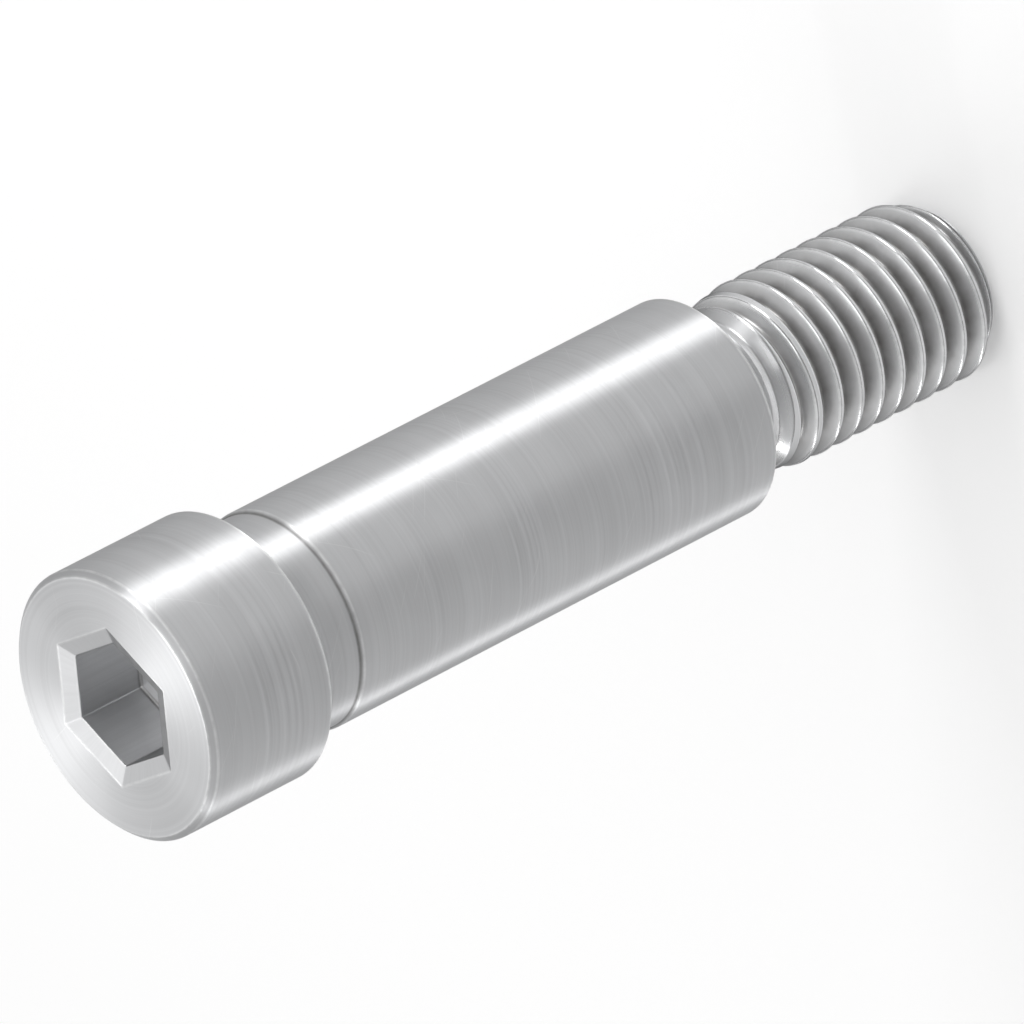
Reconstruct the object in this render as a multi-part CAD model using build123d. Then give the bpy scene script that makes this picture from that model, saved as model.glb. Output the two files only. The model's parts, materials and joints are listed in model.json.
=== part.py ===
"""Socket-head shoulder screw with a 3/4 in shoulder and a 5/8-11 thread, in millimetres.

It is one piece of steel: a turned blank with a ground shoulder, a broached hexagon
socket and a rolled right-hand thread. It stands on the flat of its threaded end. The
origin is the centre of that flat, and +Z runs up the axis to the head.
"""

from build123d import *
import math
import os

# Shoulder, the ground bearing surface
SHOULDER_DIAMETER = 19.0  # 3/4 in less its running clearance
SHOULDER_LENGTH = 50.8  # 2 in, from the head's seat to the stop on the tapped part
SHOULDER_END_CHAMFER = 0.4
RELIEF_WIDTH = 5.2  # shallow neck behind the head, where the grinding runs out
RELIEF_DEPTH = 0.25
RELIEF_CORNER = 0.4  # 45 degree corner between the neck and the head's seat

# Head
HEAD_DIAMETER = 23.2
HEAD_HEIGHT = 13.0
HEAD_RIM_CHAMFER = 0.5  # round the wrench face
HEAD_SEAT_CHAMFER = 0.35  # round the seat

# Hexagon socket, with two of its corners on the Y axis
SOCKET_ACROSS_FLATS = 9.6  # for a 3/8 in key
SOCKET_DEPTH = 7.0
MOUTH_ACROSS_FLATS = 12.4  # wide end of the six-sided lead-in
MOUTH_DEPTH = 0.6

# Thread, 5/8 in with 11 turns to the inch
THREAD_DIAMETER = 15.83  # 5/8 in less the thread's allowance
THREAD_PITCH = 25.4 / 11
THREAD_LENGTH = 27.0  # from the shoulder to the end, neck included
THREAD_ANGLE = 60.0  # between the two flanks
CREST_FLAT_SHARE = 1 / 8  # of the pitch
DEPTH_SHARE = 17 / 24  # of the sharp V's height
THREAD_START = 85.0  # degrees round +Z from +X, where the groove leaves the neck
POINT_DIAMETER = 12.8  # flat of the tapered end
POINT_LENGTH = 2.0

# Neck and run-out, between the thread and the shoulder
NECK_PITCHES = 1.3  # width of the neck, in pitches
NECK_UNDERCUT = 0.17  # below the thread's root
NECK_FILLET = 0.6  # in the corner under the shoulder
RUNOUT_DIAMETER = 14.4  # of the first, unfinished crest
RUNOUT_LENGTH = 3.2  # over which the crests rise to full height

HALF_ANGLE = math.radians(THREAD_ANGLE / 2)
SHARP_HEIGHT = THREAD_PITCH / 2 / math.tan(HALF_ANGLE)
THREAD_DEPTH = DEPTH_SHARE * SHARP_HEIGHT
CREST_RADIUS = THREAD_DIAMETER / 2
ROOT_RADIUS = CREST_RADIUS - THREAD_DEPTH

NECK_RADIUS = ROOT_RADIUS - NECK_UNDERCUT
NECK_WIDTH = NECK_PITCHES * THREAD_PITCH
NECK_FOOT = THREAD_LENGTH - NECK_WIDTH

SEAT_HEIGHT = THREAD_LENGTH + SHOULDER_LENGTH
TOP_HEIGHT = SEAT_HEIGHT + HEAD_HEIGHT


def blank():
    """The turned blank, revolved from its half outline of radius, height and corner radius."""
    shoulder = SHOULDER_DIAMETER / 2
    relief = shoulder - RELIEF_DEPTH
    head = HEAD_DIAMETER / 2
    point = POINT_DIAMETER / 2
    runout = RUNOUT_DIAMETER / 2
    runout_height = NECK_FOOT - (runout - NECK_RADIUS)
    relief_height = SEAT_HEIGHT - RELIEF_WIDTH
    outline = [
        (0, 0, 0),
        (point, 0, 0),
        (CREST_RADIUS, POINT_LENGTH, 0),
        (CREST_RADIUS, runout_height - RUNOUT_LENGTH, 0),
        (runout, runout_height, 0),
        (NECK_RADIUS, NECK_FOOT, 0),
        (NECK_RADIUS, THREAD_LENGTH, NECK_FILLET),
        (shoulder - SHOULDER_END_CHAMFER, THREAD_LENGTH, 0),
        (shoulder, THREAD_LENGTH + SHOULDER_END_CHAMFER, 0),
        (shoulder, relief_height, 0),
        (relief, relief_height + RELIEF_DEPTH, 0),
        (relief, SEAT_HEIGHT - RELIEF_CORNER, 0),
        (relief + RELIEF_CORNER, SEAT_HEIGHT, 0),
        (head - HEAD_SEAT_CHAMFER, SEAT_HEIGHT, 0),
        (head, SEAT_HEIGHT + HEAD_SEAT_CHAMFER, 0),
        (head, TOP_HEIGHT - HEAD_RIM_CHAMFER, 0),
        (head - HEAD_RIM_CHAMFER, TOP_HEIGHT, 0),
        (0, TOP_HEIGHT, 0),
    ]
    corners = [(radius, height) for radius, height, _ in outline]
    rounds = [corner_radius for _, _, corner_radius in outline]
    half = make_face(FilletPolyline(*corners, radius=rounds, close=True))
    return revolve(Plane.XZ * half, Axis.Z)


def thread_groove():
    """The groove between the threads, as single turns that run from the neck past the end."""
    crest_flat = CREST_FLAT_SHARE * THREAD_PITCH
    overshoot = crest_flat / 4 / math.tan(HALF_ANGLE)  # leaves half the flat between two turns
    half_mouth = (THREAD_PITCH - crest_flat / 2) / 2
    half_root = half_mouth - (THREAD_DEPTH + overshoot) * math.tan(HALF_ANGLE)
    section = Plane.XZ * make_face(
        Polyline(
            (ROOT_RADIUS, -half_root),
            (CREST_RADIUS + overshoot, -half_mouth),
            (CREST_RADIUS + overshoot, half_mouth),
            (ROOT_RADIUS, half_root),
            close=True,
        )
    )
    turn = sweep(section, path=Helix(THREAD_PITCH, THREAD_PITCH, ROOT_RADIUS), is_frenet=True)
    groove_end = THREAD_LENGTH - NECK_WIDTH / 2
    turns = math.ceil(groove_end / THREAD_PITCH) + 1
    return [
        Location((0, 0, groove_end - number * THREAD_PITCH), (0, 0, THREAD_START)) * turn
        for number in range(1, turns + 1)
    ]


def hexagon(across_flats, height):
    """A level hexagon with two flats square to the X axis."""
    sides = 6
    return Pos(0, 0, height) * RegularPolygon(
        across_flats / 2, sides, major_radius=False, rotation=90
    )


def socket():
    """The space of the hexagon socket: its lead-in and its straight walls."""
    mouth_foot = TOP_HEIGHT - MOUTH_DEPTH
    floor = TOP_HEIGHT - SOCKET_DEPTH
    lead_in = loft(
        [hexagon(SOCKET_ACROSS_FLATS, mouth_foot), hexagon(MOUTH_ACROSS_FLATS, TOP_HEIGHT)]
    )
    walls = extrude(hexagon(SOCKET_ACROSS_FLATS, floor), SOCKET_DEPTH)
    return lead_in + walls


def shoulder_bolt():
    """The finished screw."""
    return blank().cut(*thread_groove()) - socket()


os.makedirs("parts", exist_ok=True)
export_step(shoulder_bolt(), "parts/shoulder_bolt.step")
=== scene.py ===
"""A bright steel socket-head shoulder screw, standing on the flat of its threaded end.

One closed skin is laid over the solid. Everything turned or broached is a row of level rings,
each a circle or a hexagon, that follow an outline from the middle of the socket's floor down
to the middle of the threaded end. The thread between them is a net whose rows run along the
helix. Sizes are in metres: what the solid's record states is read from it, and the rest
repeats the solid's own values, with the small rounds that finished edges have.
"""

import json
import math
from dataclasses import dataclass

import bpy
import numpy as np
from mathutils import Matrix, Vector


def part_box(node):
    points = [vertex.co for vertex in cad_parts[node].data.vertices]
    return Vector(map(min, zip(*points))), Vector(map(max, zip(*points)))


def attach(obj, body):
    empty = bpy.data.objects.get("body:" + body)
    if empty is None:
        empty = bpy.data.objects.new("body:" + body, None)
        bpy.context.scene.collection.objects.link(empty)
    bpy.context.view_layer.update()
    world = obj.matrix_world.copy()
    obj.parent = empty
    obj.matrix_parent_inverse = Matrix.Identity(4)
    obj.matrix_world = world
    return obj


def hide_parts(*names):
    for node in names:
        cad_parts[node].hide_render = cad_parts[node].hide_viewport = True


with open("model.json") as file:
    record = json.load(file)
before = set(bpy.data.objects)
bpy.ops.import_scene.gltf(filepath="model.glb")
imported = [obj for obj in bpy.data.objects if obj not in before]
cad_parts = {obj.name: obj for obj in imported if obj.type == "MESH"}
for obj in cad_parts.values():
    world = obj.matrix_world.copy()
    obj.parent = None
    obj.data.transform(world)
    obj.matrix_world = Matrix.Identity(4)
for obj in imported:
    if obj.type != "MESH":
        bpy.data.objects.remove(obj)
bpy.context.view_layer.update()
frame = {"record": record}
mounts = {mount["name"]: mount for mount in frame["record"]["mounts"]}

MM = 0.001
TURN = 2 * math.pi

# Read from the frame
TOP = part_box("shoulder_bolt")[1].z
HEAD_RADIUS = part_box("shoulder_bolt")[1].x
SEAT = mounts["head_seat"]["pos_m"][2]
STOP = mounts["shoulder_stop"]["pos_m"][2]
SHOULDER_RADIUS = mounts["shoulder"]["dims"]["r_mm"] * MM
CREST_RADIUS = mounts["thread"]["dims"]["r_mm"] * MM

# Shoulder and head, as in the solid
SHOULDER_CHAMFER = 0.4 * MM
RELIEF_WIDTH = 5.2 * MM
RELIEF_DEPTH = 0.25 * MM
RELIEF_CORNER = 0.4 * MM
RIM_CHAMFER = 0.5 * MM
SEAT_CHAMFER = 0.35 * MM

# Hexagon socket, as in the solid. An apothem is half the distance across flats
SOCKET_APOTHEM = 9.6 / 2 * MM
SOCKET_DEPTH = 7.0 * MM
MOUTH_APOTHEM = 12.4 / 2 * MM
MOUTH_DEPTH = 0.6 * MM

# Thread and neck, as in the solid
PITCH = 25.4 / 11 * MM
FLANK_SLOPE = math.tan(math.radians(60))  # of a flank, outwards against along the axis
THREAD_DEPTH = 17 / 24 * PITCH / 2 * FLANK_SLOPE
THREAD_START = math.radians(85)
POINT_RADIUS = 12.8 / 2 * MM
POINT_LENGTH = 2.0 * MM
NECK_WIDTH = 1.3 * PITCH
NECK_UNDERCUT = 0.17 * MM
NECK_FILLET = 0.6 * MM
RUNOUT_RADIUS = 14.4 / 2 * MM
RUNOUT_LENGTH = 3.2 * MM

ROOT_RADIUS = CREST_RADIUS - THREAD_DEPTH
NECK_RADIUS = ROOT_RADIUS - NECK_UNDERCUT
NECK_FOOT = STOP - NECK_WIDTH
GROOVE_END = STOP - NECK_WIDTH / 2

# Small rounds on finished edges, which the solid leaves sharp
EDGE_ROUND = 0.12 * MM
CORNER_ROUND = 0.2 * MM
HEXAGON_ROUND = 0.18 * MM
CREST_ROUND = 0.1 * MM
ROOT_ROUND = 0.144 * PITCH

# Fineness of the skin
SIDES = 6
COLUMNS_A_SIDE = 32
CORNER_COLUMNS = 6  # of those, how many go round a corner of the hexagon
COLUMNS = SIDES * COLUMNS_A_SIDE
ANGLES = np.arange(COLUMNS) / COLUMNS * TURN + TURN / 4
ROWS_A_PITCH = 30
ARC_STEP = math.radians(15)
FADE = 0.15 * MM  # how far along a straight an edge's wear reaches
MIDDLE_RADIUS = 0.8 * MM  # of the skin's first and last rings
MAP_MARGIN = 0.005  # of the unrolled skin's map, as a share of its side
MAP_GAP = 0.5 * MM  # on the map, where the shoulder is left out of the rest

# View
VIEW_AZIMUTH = math.radians(-85)  # of the camera round the axis, from +X
VIEW_ELEVATION = math.radians(35.25)
VIEW_ROLL = math.radians(-117.3)
VIEW_WIDTH = 81.8 * MM  # what the frame takes in
VIEW_HEIGHT = 48.0 * MM  # of the point on the axis that the camera aims beside
VIEW_ASIDE = -0.68 * MM
LENS = 800  # millimetres, for the nearly parallel lines of a technical view
SENSOR = 36


def spun(vector, angle):
    """A flat vector turned anticlockwise by an angle."""
    cos, sin = math.cos(angle), math.sin(angle)
    return np.array([cos * vector[0] - sin * vector[1], sin * vector[0] + cos * vector[1]])


def rounded(corners):
    """The points of an outline whose corners, (across, height, round), are made into arcs.

    Each point is (across, height, edge, hollow). edge is 1 on the arc of an outer corner and
    hollow is 1 on that of an inner one, and both fade to 0 a little way along the straights.
    """
    points = [(*corners[0][:2], 0.0, 0.0)]
    for before, corner, after in zip(corners, corners[1:], corners[2:]):
        place = np.array(corner[:2])
        back = np.array(before[:2]) - place
        on = np.array(after[:2]) - place
        back_length, on_length = np.hypot(*back), np.hypot(*on)
        back, on = back / back_length, on / on_length
        turn = math.pi - math.acos(np.clip(back @ on, -1, 1))
        outer = back[0] * on[1] - back[1] * on[0] > 0
        setback = corner[2] * math.tan(turn / 2)
        centre = place + (back + on) / np.hypot(*(back + on)) * corner[2] / math.cos(turn / 2)
        start = place + back * setback - centre
        sense = -1 if outer else 1
        steps = max(2, math.ceil(turn / ARC_STEP))
        arc = [centre + spun(start, sense * turn * step / steps) for step in range(steps + 1)]
        if back_length > 2 * (setback + FADE):
            points.append((*(place + back * (setback + FADE)), 0.0, 0.0))
        points += [(*point, float(outer), float(not outer)) for point in arc]
        if on_length > 2 * (setback + FADE):
            points.append((*(place + on * (setback + FADE)), 0.0, 0.0))
    points.append((*corners[-1][:2], 0.0, 0.0))
    return points


def circle(radius):
    """The columns' places on a circle, or at a radius for each column."""
    return np.stack([radius * np.cos(ANGLES), radius * np.sin(ANGLES)], axis=1)


def hexagon(apothem):
    """The columns' places on a hexagon with rounded corners, two of them on the Y axis."""
    slope = math.tan(math.pi / SIDES)
    run = (apothem - HEXAGON_ROUND) * slope
    straight = COLUMNS_A_SIDE - CORNER_COLUMNS
    half_arc = CORNER_COLUMNS // 2
    line = [np.array([apothem, along]) for along in np.linspace(-run, run, straight + 1)]
    arc = [
        np.array([apothem - HEXAGON_ROUND, run])
        + spun((HEXAGON_ROUND, 0), math.pi / SIDES * step / half_arc)
        for step in range(1, half_arc + 1)
    ]
    side = [point * (1, -1) for point in arc[::-1]] + line + arc
    facings = [TURN / 4 + (number + 0.5) * TURN / SIDES for number in range(SIDES)]
    return np.array([spun(point, facing) for facing in facings for point in side[:-1]])


class Skin:
    """Gathers the whole skin: vertices, and faces with their finish and unrolled places."""

    def __init__(self):
        self.places, self.edge, self.hollow = [], [], []
        self.faces, self.finishes, self.unrolled = [], [], []
        self.last = None  # the last ring, how far along the outline it is, and its point there

    def vertex(self, place, edge=0.0, hollow=0.0):
        """Adds a vertex and returns its number."""
        self.places.append(tuple(float(x) for x in place))
        self.edge.append(float(edge))
        self.hollow.append(float(hollow))
        return len(self.places) - 1

    def ring(self, across, height, edge=0.0, hollow=0.0):
        """Adds a level ring of vertices, one a column, and returns their numbers."""
        edge, hollow = np.broadcast_to(edge, COLUMNS), np.broadcast_to(hollow, COLUMNS)
        return [self.vertex((*across[j], height), edge[j], hollow[j]) for j in range(COLUMNS)]

    def face(self, corners, unrolled, finish):
        """Adds a face, less the corners that fall together."""
        kept = [i for i, corner in enumerate(corners) if corner not in corners[:i]]
        if len(kept) > 2:
            self.faces.append([corners[i] for i in kept])
            self.unrolled += [unrolled[i] for i in kept]
            self.finishes.append(finish)

    def bridge(self, upper, lower, along, finish):
        """Joins a ring to the next one down the outline. along is the place of each on it."""
        for j in range(COLUMNS):
            k = (j + 1) % COLUMNS
            left, right = j / COLUMNS, (j + 1) / COLUMNS
            places = [(left, along[1]), (right, along[1]), (right, along[0]), (left, along[0])]
            self.face([lower[j], lower[k], upper[k], upper[j]], places, finish)

    def cap(self, ring, height, along, finish, facing_up):
        """Closes a ring with a fan to a point on the axis."""
        middle = self.vertex((0, 0, height))
        for j in range(COLUMNS):
            k = (j + 1) % COLUMNS
            left, right = j / COLUMNS, (j + 1) / COLUMNS
            corners = [ring[j], ring[k], middle]
            places = [(left, along[0]), (right, along[0]), ((left + right) / 2, along[1])]
            order = 1 if facing_up else -1
            self.face(corners[::order], places[::order], finish)

    def follow(self, corners, shape, finish_between, joined=False):
        """Lays rings of a shape down an outline, from the last ring if there is one.

        Where the outline is joined, its first point is the last ring's own.
        """
        outline = rounded(corners)[1 if joined else 0 :]
        for across, height, edge, hollow in outline:
            point = (across, height)
            ring = self.ring(shape(across), height, edge, hollow)
            if self.last is None:
                along = across
                self.cap(ring, height, (along, 0), finish_between((0, height), point), True)
            else:
                above, along_above, point_above = self.last
                along = along_above + math.dist(point, point_above)
                finish = finish_between(point_above, point)
                self.bridge(above, ring, (along_above, along), finish)
            self.last = (ring, along, point)

    def close(self, finish):
        """Closes the last ring, which is level with the end."""
        ring, along, (across, height) = self.last
        self.cap(ring, height, (along, along + across), finish, False)


def smooth_min(one, other, width):
    """The lesser of two values, with the crease between them rounded over a width."""
    blend = np.maximum(width - np.abs(one - other), 0) / width
    return np.minimum(one, other) - blend**2 * width / 4


def blank_under_thread():
    """Heights, upwards, and radii of the turned blank from the end's edge to the neck."""
    runout_top = NECK_FOOT - (RUNOUT_RADIUS - NECK_RADIUS)
    edge_height = 3 * EDGE_ROUND
    taper = (CREST_RADIUS - POINT_RADIUS) / POINT_LENGTH
    outline = rounded(
        [
            (NECK_RADIUS, NECK_FOOT + 3 * CORNER_ROUND, 0),
            (NECK_RADIUS, NECK_FOOT, CORNER_ROUND),
            (RUNOUT_RADIUS, runout_top, CORNER_ROUND),
            (CREST_RADIUS, runout_top - RUNOUT_LENGTH, CORNER_ROUND),
            (CREST_RADIUS, POINT_LENGTH, CORNER_ROUND),
            (POINT_RADIUS + taper * edge_height, edge_height, 0),
        ]
    )
    radii, heights, _, _ = np.array(outline[::-1]).T
    return heights, radii


def threaded(height, angle, blank):
    """Radius of the thread at a height and angle, with how near a crest and how deep that is."""
    turned = np.interp(height, *blank)
    phase = (height - GROOVE_END) / PITCH - (angle - THREAD_START) / TURN
    off = np.abs(phase - np.round(phase)) * PITCH
    reach = ROOT_ROUND * math.sin(math.atan(FLANK_SLOPE))
    root = ROOT_RADIUS + ROOT_ROUND - np.sqrt(ROOT_ROUND**2 - np.minimum(off, reach) ** 2)
    groove = root + np.maximum(off - reach, 0) * FLANK_SLOPE
    radius = smooth_min(groove, turned, CREST_ROUND)
    crest = 1 - np.clip(np.abs(groove - turned) / (3 * CREST_ROUND), 0, 1)
    depth = np.clip((turned - radius) / THREAD_DEPTH, 0, 1)
    return radius, crest, depth


def lay_thread(skin):
    """Lays the thread's net from the last ring down to a new one at the end's edge.

    A row climbs one pitch in a turn, so its last column meets the first of a row a pitch up.
    Where a row runs past either ring, its vertices are that ring's.
    """
    blank = blank_under_thread()
    (bottom, top), bottom_radius = blank[0][[0, -1]], blank[1][0]
    upper, along, _ = skin.last
    radius, crest, depth = threaded(bottom, ANGLES, blank)
    lower = skin.ring(circle(radius), bottom, crest, depth)
    skin.last = (lower, along + top - bottom, (bottom_radius, bottom))
    step = PITCH / ROWS_A_PITCH
    first = math.floor((bottom - GROOVE_END) / step) - 2 * ROWS_A_PITCH
    last = math.ceil((top - GROOVE_END) / step) + 2 * ROWS_A_PITCH
    climb = (ANGLES - THREAD_START) / TURN * PITCH
    snap = step / 3  # within which a vertex is left out for the ring's own
    heights = GROOVE_END + np.arange(first, last)[:, None] * step + climb
    radius, crest, depth = threaded(heights, ANGLES, blank)
    x, y = radius * np.cos(ANGLES), radius * np.sin(ANGLES)

    def number(i, j):
        if heights[i, j] > top - snap:
            return upper[j]
        if heights[i, j] < bottom + snap:
            return lower[j]
        return skin.vertex((x[i, j], y[i, j], heights[i, j]), crest[i, j], depth[i, j])

    numbers = [[number(i, j) for j in range(COLUMNS)] for i in range(len(heights))]

    def unrolled(i, j):
        height = heights[0, 0] + i * step + j / COLUMNS * PITCH
        return j / COLUMNS, along + top - min(max(height, bottom), top)

    for i in range(len(heights) - ROWS_A_PITCH - 1):
        for j in range(COLUMNS):
            net = [(i, j), (i, j + 1), (i + 1, j + 1), (i + 1, j)]
            wrapped = [(a + ROWS_A_PITCH, 0) if b == COLUMNS else (a, b) for a, b in net]
            corners = [numbers[a][b] for a, b in wrapped]
            skin.face(corners, [unrolled(a, b) for a, b in net], "rolled")


def faced_between(upper, lower):
    """Whether a stretch of an outline is level, or nearly so on a round."""
    return abs(upper[0] - lower[0]) > 3 * abs(upper[1] - lower[1])


def finish_between(upper, lower):
    """The finish of a stretch of the turned outline."""
    if faced_between(upper, lower):
        return "faced"
    middle = (upper[1] + lower[1]) / 2
    on_shoulder = STOP + SHOULDER_CHAMFER <= middle <= SEAT - RELIEF_WIDTH
    return "ground" if on_shoulder else "turned"


def socket_between(upper, lower):
    """The finish in and round the socket, whose floor is as flat as the face."""
    return "faced" if faced_between(upper, lower) else "broached"


def whole_skin():
    """The skin, laid from the middle of the socket's floor to the middle of the end."""
    skin = Skin()
    floor = TOP - SOCKET_DEPTH
    relief = SHOULDER_RADIUS - RELIEF_DEPTH
    relief_foot = SEAT - RELIEF_WIDTH
    face_ring = (2 * HEAD_RADIUS + MOUTH_APOTHEM) / 3
    skin.follow(
        [
            (MIDDLE_RADIUS, floor, 0),
            (SOCKET_APOTHEM, floor, CORNER_ROUND),
            (SOCKET_APOTHEM, TOP - MOUTH_DEPTH, EDGE_ROUND),
            (MOUTH_APOTHEM, TOP, EDGE_ROUND),
            (MOUTH_APOTHEM + 5 * FADE, TOP, 0),
        ],
        hexagon,
        socket_between,
    )
    skin.follow(
        [
            (face_ring, TOP, 0),
            (HEAD_RADIUS - RIM_CHAMFER, TOP, EDGE_ROUND),
            (HEAD_RADIUS, TOP - RIM_CHAMFER, EDGE_ROUND),
            (HEAD_RADIUS, SEAT + SEAT_CHAMFER, EDGE_ROUND),
            (HEAD_RADIUS - SEAT_CHAMFER, SEAT, EDGE_ROUND),
            (relief + RELIEF_CORNER, SEAT, EDGE_ROUND),
            (relief, SEAT - RELIEF_CORNER, EDGE_ROUND),
            (relief, relief_foot + RELIEF_DEPTH, EDGE_ROUND),
            (SHOULDER_RADIUS, relief_foot, EDGE_ROUND),
            (SHOULDER_RADIUS, STOP + SHOULDER_CHAMFER, EDGE_ROUND),
            (SHOULDER_RADIUS - SHOULDER_CHAMFER, STOP, EDGE_ROUND),
            (NECK_RADIUS, STOP, NECK_FILLET),
            (NECK_RADIUS, blank_under_thread()[0][-1], 0),
        ],
        circle,
        finish_between,
    )
    lay_thread(skin)
    skin.follow(
        [skin.last[2], (POINT_RADIUS, 0, EDGE_ROUND), (MIDDLE_RADIUS, 0, 0)],
        circle,
        finish_between,
        joined=True,
    )
    skin.close("faced")
    return skin


def laid_flat(skin):
    """The map of the unrolled skin: the ground shoulder on the left, all the rest on the right."""
    around, along = np.array(skin.unrolled).T
    corners = [len(face) for face in skin.faces]
    ground = np.repeat(np.array(skin.finishes) == "ground", corners)
    start, end = along[ground].min(), along[ground].max()
    past_shoulder = ~ground & (along > (start + end) / 2)
    rest = along - (end - start - MAP_GAP) * past_shoulder
    down = np.where(ground, (along - start) / (end - start), rest / rest[~ground].max())
    margin = MAP_MARGIN
    across = np.where(ground, 0, 0.5) + margin + around * (0.5 - 2 * margin)
    return np.stack([across, 1 - margin - down * (1 - 2 * margin)], axis=1)


def steel_piece(materials):
    """The screw's one mesh, in its finishes."""
    skin = whole_skin()
    mesh = bpy.data.meshes.new("shoulder_screw")
    mesh.from_pydata(skin.places, [], skin.faces)
    for material in materials.values():
        mesh.materials.append(material)
    wear = {"edge": skin.edge, "hollow": skin.hollow}
    for name, values in wear.items():
        mesh.attributes.new(name, "FLOAT", "POINT").data.foreach_set("value", values)
    order = list(materials)
    mesh.polygons.foreach_set("material_index", [order.index(name) for name in skin.finishes])
    mesh.polygons.foreach_set("use_smooth", [True] * len(mesh.polygons))
    mesh.uv_layers.new(name="OFBake").uv.foreach_set("vector", laid_flat(skin).ravel())
    mesh.update()
    piece = bpy.data.objects.new("steel_screw", mesh)
    bpy.context.scene.collection.objects.link(piece)
    weighted = piece.modifiers.new("flats_stay_flat", "WEIGHTED_NORMAL")
    weighted.weight = 100
    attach(piece, "root")
    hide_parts("shoulder_bolt")
    return piece


class Nodes:
    """Adds nodes to a tree. What a socket is given is a value, or the output that feeds it."""

    def __init__(self, tree):
        self.tree = tree

    def add(self, kind, fed=None, **settings):
        """Adds a node with its settings and what feeds its sockets."""
        node = self.tree.nodes.new(kind)
        for name, value in settings.items():
            setattr(node, name, value)
        for name, value in (fed or {}).items():
            self.feed(node.inputs[name], value)
        return node

    def feed(self, socket, value):
        """Links an output to a socket, or sets the socket to a value."""
        if isinstance(value, bpy.types.NodeSocket):
            self.tree.links.new(value, socket)
        else:
            socket.default_value = value

    def effect(self, tree, fed):
        """The outputs of a node group placed with its own values."""
        node = self.add("ShaderNodeGroup", node_tree=tree)
        for name, value in fed.items():
            self.feed(node.inputs[name], value)
        return node.outputs

    def math(self, operation, *values, clamp=False):
        """The result of a Math node."""
        node = self.add("ShaderNodeMath", dict(enumerate(values)), operation=operation)
        node.use_clamp = clamp
        return node.outputs[0]

    def scaled(self, vector, factors):
        """A vector with each of its parts multiplied by a factor."""
        fed = {0: vector, 1: factors}
        return self.add("ShaderNodeVectorMath", fed, operation="MULTIPLY").outputs[0]

    def noise(self, vector, scale=1.0, detail=2.0, roughness=0.5):
        """The value of a noise texture."""
        fed = {"Vector": vector, "Scale": scale, "Detail": detail, "Roughness": roughness}
        return self.add("ShaderNodeTexNoise", fed).outputs["Fac"]

    def between(self, value, low, high, to_low=0.0, to_high=1.0):
        """A value moved from one range to another, and held within it."""
        fed = {"Value": value, "From Min": low, "From Max": high}
        fed |= {"To Min": to_low, "To Max": to_high}
        return self.add("ShaderNodeMapRange", fed).outputs["Result"]

    def mix(self, share, colour, other):
        """One colour blended into another by a share."""
        node = self.add("ShaderNodeMix", data_type="RGBA")
        sockets = (node.inputs[0], node.inputs[6], node.inputs[7])
        for socket, value in zip(sockets, (share, colour, other)):
            self.feed(socket, value)
        return node.outputs[2]

    def attribute(self, name):
        """A number that the mesh holds at each vertex."""
        return self.add("ShaderNodeAttribute", attribute_name=name).outputs["Fac"]

    def parts(self, vector):
        """The three parts of a vector."""
        return self.add("ShaderNodeSeparateXYZ", {0: vector}).outputs

    def joined(self, *parts):
        """A vector of up to three parts."""
        return self.add("ShaderNodeCombineXYZ", dict(enumerate(parts))).outputs[0]

    def place(self):
        """The place on the screw, in millimetres."""
        metres = self.add("ShaderNodeTexCoord").outputs["Object"]
        return self.scaled(metres, (1 / MM, 1 / MM, 1 / MM))


def group(name, inputs, outputs):
    """A new node group with float sockets, as (its tree, its nodes, its inputs, its output node)."""
    tree = bpy.data.node_groups.new(name, "ShaderNodeTree")
    for socket, value in inputs.items():
        made = tree.interface.new_socket(socket, in_out="INPUT", socket_type="NodeSocketFloat")
        made.default_value = value
    for socket in outputs:
        tree.interface.new_socket(socket, in_out="OUTPUT", socket_type="NodeSocketFloat")
    nodes = Nodes(tree)
    given = tree.nodes.new("NodeGroupInput").outputs
    return tree, nodes, given, tree.nodes.new("NodeGroupOutput")


def tool_lines(way):
    """The fine parallel lines that a tool leaves, and the broader streaks they gather in."""
    inputs = {"Lines a mm": 8.0, "Streaks a mm": 2.0, "Drift": 0.01}
    tree, nodes, given, result = group("lines_" + way, inputs, ["Height", "Streak"])
    x, y, z = nodes.parts(nodes.place())
    if way == AROUND:
        across, rest = z, (x, y)
    elif way == ROUND_A_FACE:
        squares = nodes.math("ADD", nodes.math("MULTIPLY", x, x), nodes.math("MULTIPLY", y, y))
        across, rest = nodes.math("SQRT", squares), (x, y)
    else:
        angle = nodes.math("ARCTAN2", y, x)
        across, rest = nodes.math("MULTIPLY", angle, SOCKET_APOTHEM / MM), (z,)
    slow = [nodes.math("MULTIPLY", part, given["Drift"]) for part in rest]
    fine = nodes.joined(nodes.math("MULTIPLY", across, given["Lines a mm"]), *slow)
    broad = nodes.joined(nodes.math("MULTIPLY", across, given["Streaks a mm"]), *slow)
    nodes.feed(result.inputs["Height"], nodes.noise(fine, detail=3.0, roughness=0.65))
    streak = nodes.between(nodes.noise(broad, detail=3.0, roughness=0.7), 0.3, 0.7)
    nodes.feed(result.inputs["Streak"], streak)
    return tree


STRETCHES_A_MM = 0.16  # how often a row has a scratch, along it
ROWS_APART = 7.3  # so that no two rows have theirs in the same places
HAIRLINE_WIDTH = 0.05  # in millimetres
# The rotation of each layer of scratches, and the millimetres between its rows
HAIRLINE_WAYS = {(0.5, 0.9, 0.2): 2.7, (1.9, 0.3, 1.1): 3.9, (2.6, 1.3, 0.5): 4.7}


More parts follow.
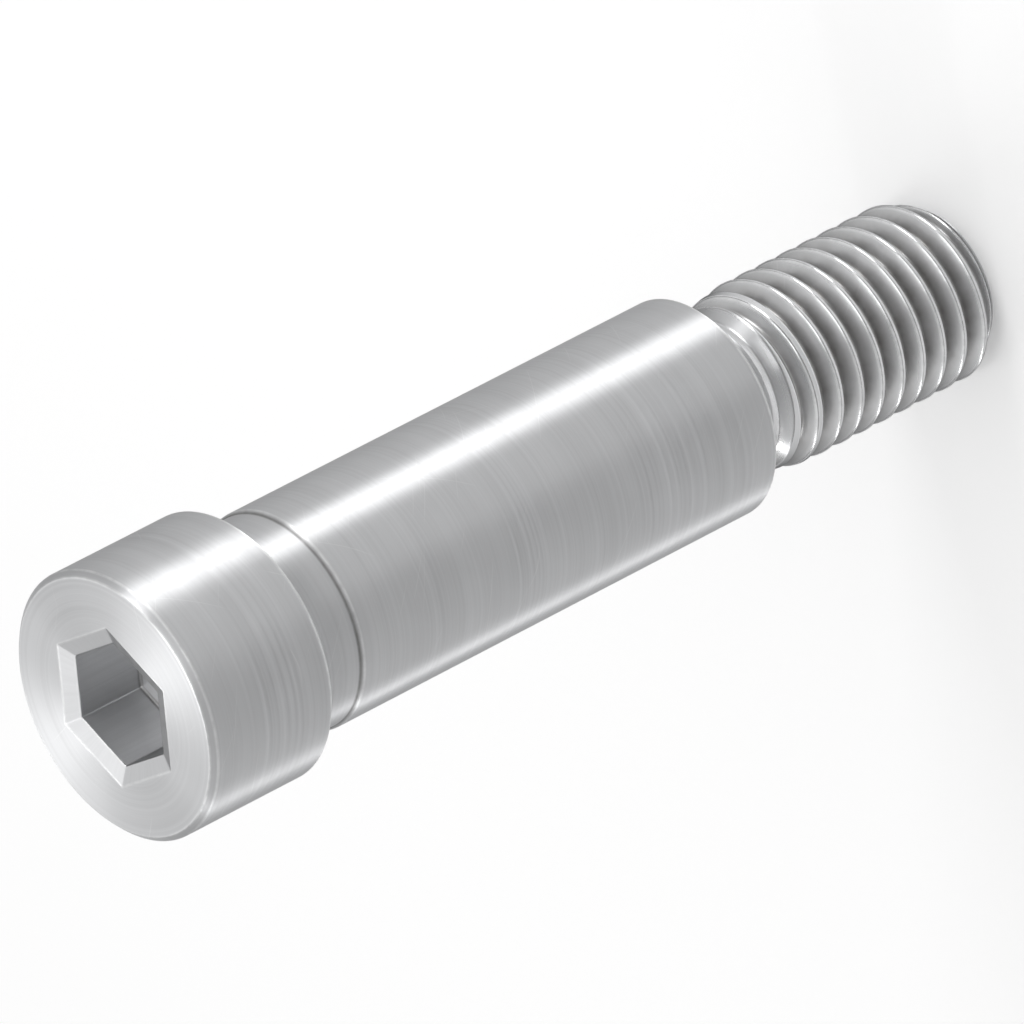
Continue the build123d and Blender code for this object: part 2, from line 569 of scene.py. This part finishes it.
def hairlines(nodes, place, turned, spacing, width):
    """Straight scratches in one direction, a few in each row, that taper off at their ends."""
    mapping = nodes.add("ShaderNodeMapping", {"Vector": place, "Rotation": turned})
    x, y, z = nodes.parts(mapping.outputs[0])
    across = nodes.math("DIVIDE", x, spacing)
    row = nodes.math("FLOOR", across)
    chance = nodes.add("ShaderNodeTexWhiteNoise", {"W": row}, noise_dimensions="1D").outputs[0]
    middle = nodes.between(chance, 0.0, 1.0, to_low=0.1, to_high=0.9)
    off = nodes.math("ABSOLUTE", nodes.math("SUBTRACT", nodes.math("FRACT", across), middle))
    line = nodes.between(off, 0.0, width / spacing, to_low=1.0, to_high=0.0)
    along = nodes.scaled(nodes.joined(y, z, row), (STRETCHES_A_MM, STRETCHES_A_MM, ROWS_APART))
    present = nodes.between(nodes.noise(along, detail=0.0), 0.6, 0.72)
    return nodes.math("MULTIPLY", line, present)


def handling_marks():
    """Faint smudges, and sparse hairline scratches where the screw has lain among others."""
    tree, nodes, given, result = group("handling_marks", {"Scratches": 1.0}, ["Smudge", "Scratch"])
    place = nodes.place()
    smudge = nodes.between(nodes.noise(place, scale=0.12), 0.4, 0.7)
    nodes.feed(result.inputs["Smudge"], smudge)
    scratch = 0.0
    for turned, spacing in HAIRLINE_WAYS.items():
        scratch = nodes.math("MAXIMUM", scratch, hairlines(nodes, place, turned, spacing, HAIRLINE_WIDTH))
    nodes.feed(result.inputs["Scratch"], nodes.math("MULTIPLY", scratch, given["Scratches"]))
    return tree


def edge_rub():
    """Outer edges burnished and nicked in places by handling."""
    tree, nodes, given, result = group("edge_rub", {"Amount": 1.0}, ["Rub"])
    patches = nodes.noise(nodes.place(), scale=1.3, detail=4.0)
    worn = nodes.between(patches, 0.3, 0.6, to_low=0.35, to_high=1.0)
    edge = nodes.math("MULTIPLY", nodes.attribute("edge"), worn)
    nodes.feed(result.inputs["Rub"], nodes.math("MULTIPLY", edge, given["Amount"], clamp=True))
    return tree


KEPT_DEEP = 1.1  # above 1, the painted shade and oil keep nearer to the bottom of a hollow


def oil_film():
    """Painted shade in roots and inner corners, darker where they are deeper, with the thin dark oil film
    that stays there.
    """
    tree, nodes, given, result = group("oil_film", {"Amount": 1.0}, ["Film"])
    patches = nodes.noise(nodes.place(), scale=0.7, detail=3.0)
    thickness = nodes.between(patches, 0.3, 0.7, to_low=0.55, to_high=1.0)
    deep = nodes.math("POWER", nodes.attribute("hollow"), KEPT_DEEP)
    held = nodes.math("MULTIPLY", deep, thickness)
    nodes.feed(result.inputs["Film"], nodes.math("MULTIPLY", held, given["Amount"], clamp=True))
    return tree


@dataclass
class Finish:
    """How one surface of the screw was made, and what that shows."""

    lines: str  # which way the tool's lines run
    lines_a_mm: float
    streaks_a_mm: float  # broader ones, where the lines gather
    drift: float  # how fast both wander along their way
    relief: float  # depth of the lines, in millimetres
    roughness: float
    stretch: float = 0.0  # how far the lines draw a highlight out across them
    # how strongly painted shade and oil darken the roots and inner corners
    oil_and_shade: float = 0.6
    scratches: float = 1.0
    tone: float = 1.0  # darker below 1


AROUND, ROUND_A_FACE, ALONG = "around_the_axis", "round_a_face", "along_the_axis"

FINISHES = {
    "broached": Finish(ALONG, 6, 2.5, 0.05, relief=0.005, roughness=0.4, scratches=0.0),
    "faced": Finish(ROUND_A_FACE, 6, 2.2, 0.014, relief=0.0015, roughness=0.42, stretch=0.85),
    "turned": Finish(AROUND, 6, 1.7, 0.014, relief=0.001, roughness=0.53, stretch=0.98),
    "ground": Finish(AROUND, 9, 2.6, 0.012, relief=0.0006, roughness=0.5, stretch=1.0),
    "rolled": Finish(
        AROUND,
        4,
        1.0,
        0.05,
        relief=0.0015,
        roughness=0.28,
        stretch=0.3,
        oil_and_shade=0.85,
        scratches=0.4,
        tone=0.8,
    ),
}

STEEL = (0.74, 0.745, 0.755)
DULLED = (0.66, 0.663, 0.67)  # where the lines are dense
BURNISHED = (0.84, 0.845, 0.85)  # on rubbed edges and in scratches
# painted shade in thread roots and inner corners, with the oil that stays there
OILED_AND_SHADED = (0.20, 0.19, 0.18)
EDGE_TINT = (0.15, 0.15, 0.15)  # of what steel mirrors at a low angle

# How much of a colour each mark brings, and what it does to the roughness
DULL_SHARE, SCRATCH_SHARE, RUB_SHARE = 0.6, 0.5, 0.9
LINES_SMOOTH, LINES_ROUGHEN = 0.04, 0.05
SMUDGE_ROUGHENS, RUB_SMOOTHS, OIL_ROUGHENS = 0.03, 0.12, 0.1
SCRATCH_DEPTH = 2.0  # against the lines' own


def shade(colour, tone=1.0):
    """A colour made darker or left as it is, as a socket takes it."""
    return tuple(part * tone for part in colour) + (1,)


def steel(name, finish, effects):
    """Steel with the lines of its tool, dulled by them, with marks, rubbed edges, and painted shade with
    oil in its hollows.
    """
    material = bpy.data.materials.new(name)
    material.use_nodes = True
    tree = material.node_tree
    nodes = Nodes(tree)
    shader = tree.nodes["Principled BSDF"]

    fineness = {"Lines a mm": finish.lines_a_mm, "Streaks a mm": finish.streaks_a_mm}
    grain = nodes.effect(effects[finish.lines], fineness | {"Drift": finish.drift})
    marks = nodes.effect(effects["handling_marks"], {"Scratches": finish.scratches})
    rubbed = nodes.effect(effects["edge_rub"], {"Amount": 1.0})["Rub"]
    oiled_and_shaded = nodes.effect(effects["oil_film"], {"Amount": finish.oil_and_shade})["Film"]

    dull = nodes.math("MULTIPLY", grain["Streak"], DULL_SHARE)
    scratched = nodes.math("MULTIPLY", marks["Scratch"], SCRATCH_SHARE)
    bared = nodes.math("MULTIPLY", rubbed, RUB_SHARE)
    colour = nodes.mix(dull, shade(STEEL, finish.tone), shade(DULLED, finish.tone))
    colour = nodes.mix(scratched, colour, shade(BURNISHED))
    colour = nodes.mix(bared, colour, shade(BURNISHED))
    # painted shade, with oil, darkens the roots and inner corners by how deep they are
    nodes.feed(shader.inputs["Base Color"], nodes.mix(oiled_and_shaded, colour, shade(OILED_AND_SHADED)))

    low, high = finish.roughness - LINES_SMOOTH, finish.roughness + LINES_ROUGHEN
    spread = nodes.between(grain["Streak"], 0, 1, low, high)
    spread = nodes.math("ADD", spread, nodes.math("MULTIPLY", marks["Smudge"], SMUDGE_ROUGHENS))
    spread = nodes.math("SUBTRACT", spread, nodes.math("MULTIPLY", rubbed, RUB_SMOOTHS))
    spread = nodes.math("ADD", spread, nodes.math("MULTIPLY", oiled_and_shaded, OIL_ROUGHENS), clamp=True)
    nodes.feed(shader.inputs["Roughness"], spread)

    cut = nodes.math("MULTIPLY", marks["Scratch"], SCRATCH_DEPTH)
    height = nodes.math("SUBTRACT", grain["Height"], cut)
    bump = nodes.add("ShaderNodeBump", {"Height": height, "Distance": finish.relief * MM})
    nodes.feed(shader.inputs["Normal"], bump.outputs[0])

    tangent = nodes.add("ShaderNodeTangent", direction_type="RADIAL", axis="Z")
    nodes.feed(shader.inputs["Tangent"], tangent.outputs[0])
    shader.inputs["Metallic"].default_value = 1
    shader.inputs["Specular Tint"].default_value = shade(EDGE_TINT)
    shader.inputs["Anisotropic"].default_value = finish.stretch
    shader.inputs["Anisotropic Rotation"].default_value = 0.25
    return material


def finishes():
    """The screw's materials, by the name of the finish."""
    effects = {way: tool_lines(way) for way in (AROUND, ROUND_A_FACE, ALONG)}
    effects |= {"handling_marks": handling_marks(), "edge_rub": edge_rub(), "oil_film": oil_film()}
    return {name: steel(name + "_steel", finish, effects) for name, finish in FINISHES.items()}


def direction(azimuth, elevation):
    """The unit vector at an angle round the axis from +X and an angle above the level."""
    level = math.cos(elevation)
    return Vector((level * math.cos(azimuth), level * math.sin(azimuth), math.sin(elevation)))


def camera():
    """A long lens, turned and rolled so that the head is at the lower left."""
    back = direction(VIEW_AZIMUTH, VIEW_ELEVATION)
    level = Vector((0, 0, 1)).cross(back).normalized()
    upright = back.cross(level)
    right = math.cos(VIEW_ROLL) * level + math.sin(VIEW_ROLL) * upright
    data = bpy.data.cameras.new("camera")
    data.lens, data.sensor_width = LENS, SENSOR
    distance = VIEW_WIDTH * LENS / SENSOR
    data.clip_start, data.clip_end = distance / 10, distance * 10
    place = Matrix((right, back.cross(right), back)).transposed().to_4x4()
    place.translation = Vector((0, 0, VIEW_HEIGHT)) + level * VIEW_ASIDE + back * distance
    view = bpy.data.objects.new("camera", data)
    view.matrix_world = place
    bpy.context.scene.collection.objects.link(view)
    bpy.context.scene.camera = view


@dataclass
class Softbox:
    """A rectangular lamp that faces the middle of the screw."""

    azimuth: float  # round the axis from +X, in degrees
    elevation: float  # above the level, in degrees
    distance: float
    width: float
    height: float
    brightness: float  # 1 shows white


SOFTBOXES = {
    "strip": Softbox(-20, 16, 0.6, width=0.22, height=0.36, brightness=5.5),
    "rim": Softbox(160, 14, 0.7, width=0.06, height=0.4, brightness=6.0),
    "overhead": Softbox(-60, 62, 0.8, width=0.5, height=0.5, brightness=1.2),
    "over_the_face": Softbox(95, 62, 0.8, width=0.18, height=0.18, brightness=5.0),
}


def hang(name, softbox):
    """Puts a softbox in its place."""
    lamp = bpy.data.lights.new(name, "AREA")
    lamp.shape, lamp.size, lamp.size_y = "RECTANGLE", softbox.width, softbox.height
    lamp.energy = softbox.brightness * math.pi * softbox.width * softbox.height
    box = bpy.data.objects.new(name, lamp)
    away = direction(math.radians(softbox.azimuth), math.radians(softbox.elevation))
    box.location = Vector((0, 0, TOP / 2)) + away * softbox.distance
    box.rotation_euler = away.to_track_quat("Z", "Y").to_euler()
    bpy.context.scene.collection.objects.link(box)


BRIGHT_SIDE = math.radians(95)  # azimuth of the room's brighter side


def pale_room():
    """A world that is brighter overhead, darker on one side, and pale where it shows below."""
    world = bpy.data.worlds.new("pale_room")
    world.use_nodes = True
    nodes = Nodes(world.node_tree)
    facing = nodes.add("ShaderNodeTexCoord").outputs["Generated"]
    bright_side = direction(BRIGHT_SIDE, 0)
    sideways = nodes.add("ShaderNodeVectorMath", {0: facing, 1: bright_side}, operation="DOT_PRODUCT")
    upward = nodes.parts(facing)[2]
    by_height = nodes.between(upward, 0.0, 0.6, to_low=0.15, to_high=0.95)
    by_side = nodes.between(sideways.outputs["Value"], -0.8, 0.2, to_low=0.45, to_high=1.0)
    above = nodes.math("MULTIPLY", by_height, by_side)
    below = nodes.between(upward, -0.02, 0.0, to_low=0.8, to_high=0.0)
    background = world.node_tree.nodes["Background"]
    background.inputs["Color"].default_value = (1, 1, 1, 1)
    nodes.feed(background.inputs["Strength"], nodes.math("MAXIMUM", above, below))
    bpy.context.scene.world = world


FLOOR_REACH = 3.0
FLOOR_COLOUR = (0.8, 0.8, 0.8)
FLOOR_LIFT = 0.2  # takes that colour up to white where the floor is seen or mirrored


def pale_floor():
    """A wide white floor that keeps the shadow and can be seen through from below."""
    mesh = bpy.data.meshes.new("floor")
    ways = [(-1, -1), (1, -1), (1, 1), (-1, 1)]
    corners = [(x * FLOOR_REACH, y * FLOOR_REACH, 0) for x, y in ways]
    mesh.from_pydata(corners, [], [(0, 1, 2, 3)])
    floor = bpy.data.objects.new("floor", mesh)
    bpy.context.scene.collection.objects.link(floor)
    material = bpy.data.materials.new("pale_floor")
    material.use_nodes = True
    tree = material.node_tree
    nodes = Nodes(tree)
    tree.nodes.remove(tree.nodes["Principled BSDF"])
    path = nodes.add("ShaderNodeLightPath").outputs
    seen = nodes.math("MAXIMUM", path["Is Camera Ray"], path["Is Glossy Ray"])
    seen = nodes.math("MAXIMUM", seen, path["Is Transmission Ray"])
    matt = nodes.add("ShaderNodeBsdfDiffuse", {"Color": shade(FLOOR_COLOUR)})
    lift = nodes.add("ShaderNodeEmission", {"Strength": nodes.math("MULTIPLY", seen, FLOOR_LIFT)})
    lit = nodes.add("ShaderNodeAddShader", {0: matt.outputs[0], 1: lift.outputs[0]})
    clear = nodes.add("ShaderNodeBsdfTransparent")
    behind = nodes.add("ShaderNodeNewGeometry").outputs["Backfacing"]
    fed = {0: behind, 1: lit.outputs[0], 2: clear.outputs[0]}
    sided = nodes.add("ShaderNodeMixShader", fed)
    nodes.feed(tree.nodes["Material Output"].inputs["Surface"], sided.outputs[0])
    mesh.materials.append(material)


steel_piece(finishes())
pale_floor()
pale_room()
for name, softbox in SOFTBOXES.items():
    hang(name, softbox)
camera()
bpy.context.scene.view_settings.view_transform = "Standard"
